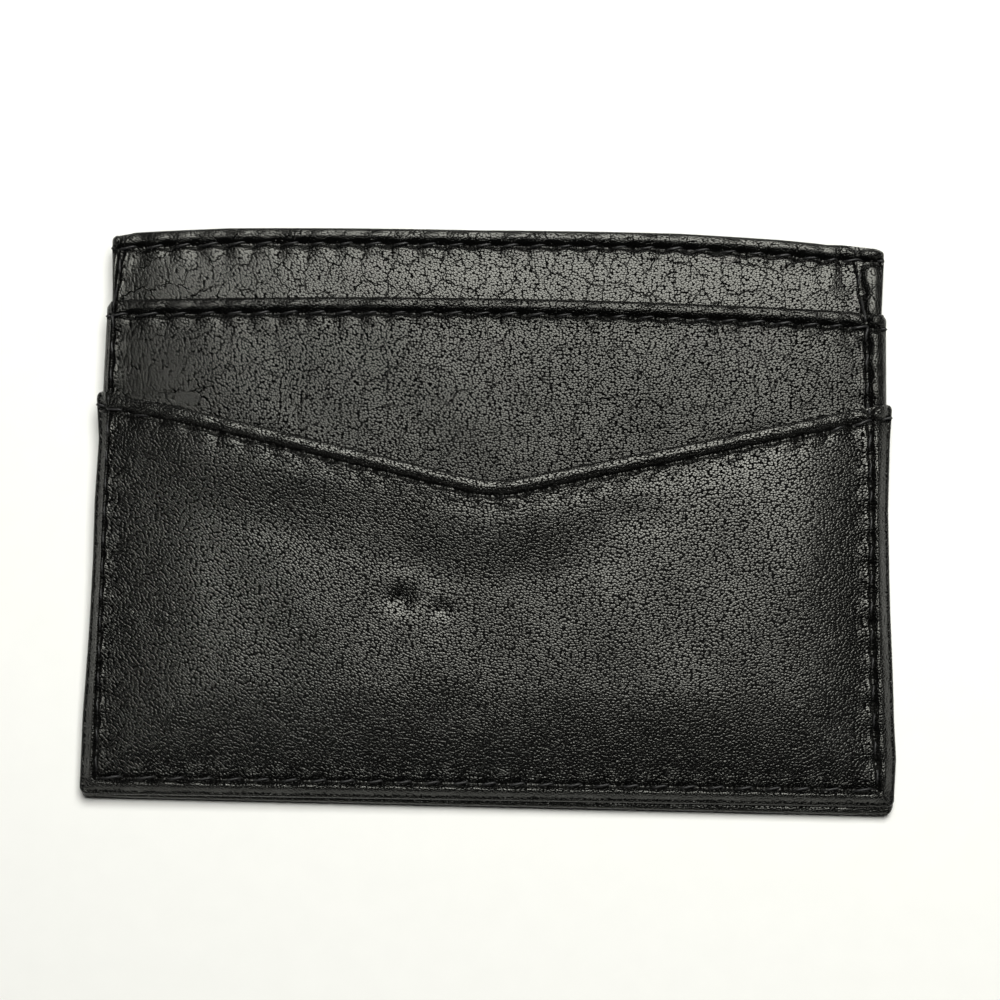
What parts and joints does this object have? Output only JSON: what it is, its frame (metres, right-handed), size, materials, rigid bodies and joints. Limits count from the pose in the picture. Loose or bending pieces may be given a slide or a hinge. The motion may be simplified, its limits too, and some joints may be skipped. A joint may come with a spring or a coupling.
{
  "type": "card wallet",
  "caption": "Slim black leather card holder with a V-cut front pocket, straight pockets behind it and a centre pocket, edges turned and sewn.",
  "frame": {"origin": "middle of the wallet's outline, on the flat outer face of the back pocket that it lies on", "axes": "+X along the width to the right as the front is read, +Y towards the mouths, +Z out of the front"},
  "size_m": [0.101, 0.072, 0.0059],
  "materials": {
    "black_leather": "black full-grain leather with a fine pebbled grain and a soft sheen",
    "dark_lining": "thin dark woven lining",
    "shield_foil": "thin metallised shielding sheet",
    "black_thread": "twisted black polyester sewing thread"
  },
  "bodies": {
    "root": {"front_v_pocket": "black_leather", "front_middle_pocket": "black_leather", "front_top_panel": "black_leather", "back_lower_pocket": "black_leather", "back_middle_pocket": "black_leather", "back_top_panel": "black_leather", "front_v_pocket_lining": "dark_lining", "front_middle_tail": "dark_lining", "front_body_lining": "dark_lining", "back_lower_pocket_lining": "dark_lining", "back_middle_tail": "dark_lining", "back_body_lining": "dark_lining", "front_shield": "shield_foil", "back_shield": "shield_foil", "front_v_pocket_mouth_thread": "black_thread", "front_middle_mouth_thread": "black_thread", "front_top_mouth_thread": "black_thread", "back_lower_pocket_mouth_thread": "black_thread", "back_middle_mouth_thread": "black_thread", "back_top_mouth_thread": "black_thread", "front_edge_thread": "black_thread", "back_edge_thread": "black_thread"}
  },
  "joints": []
}
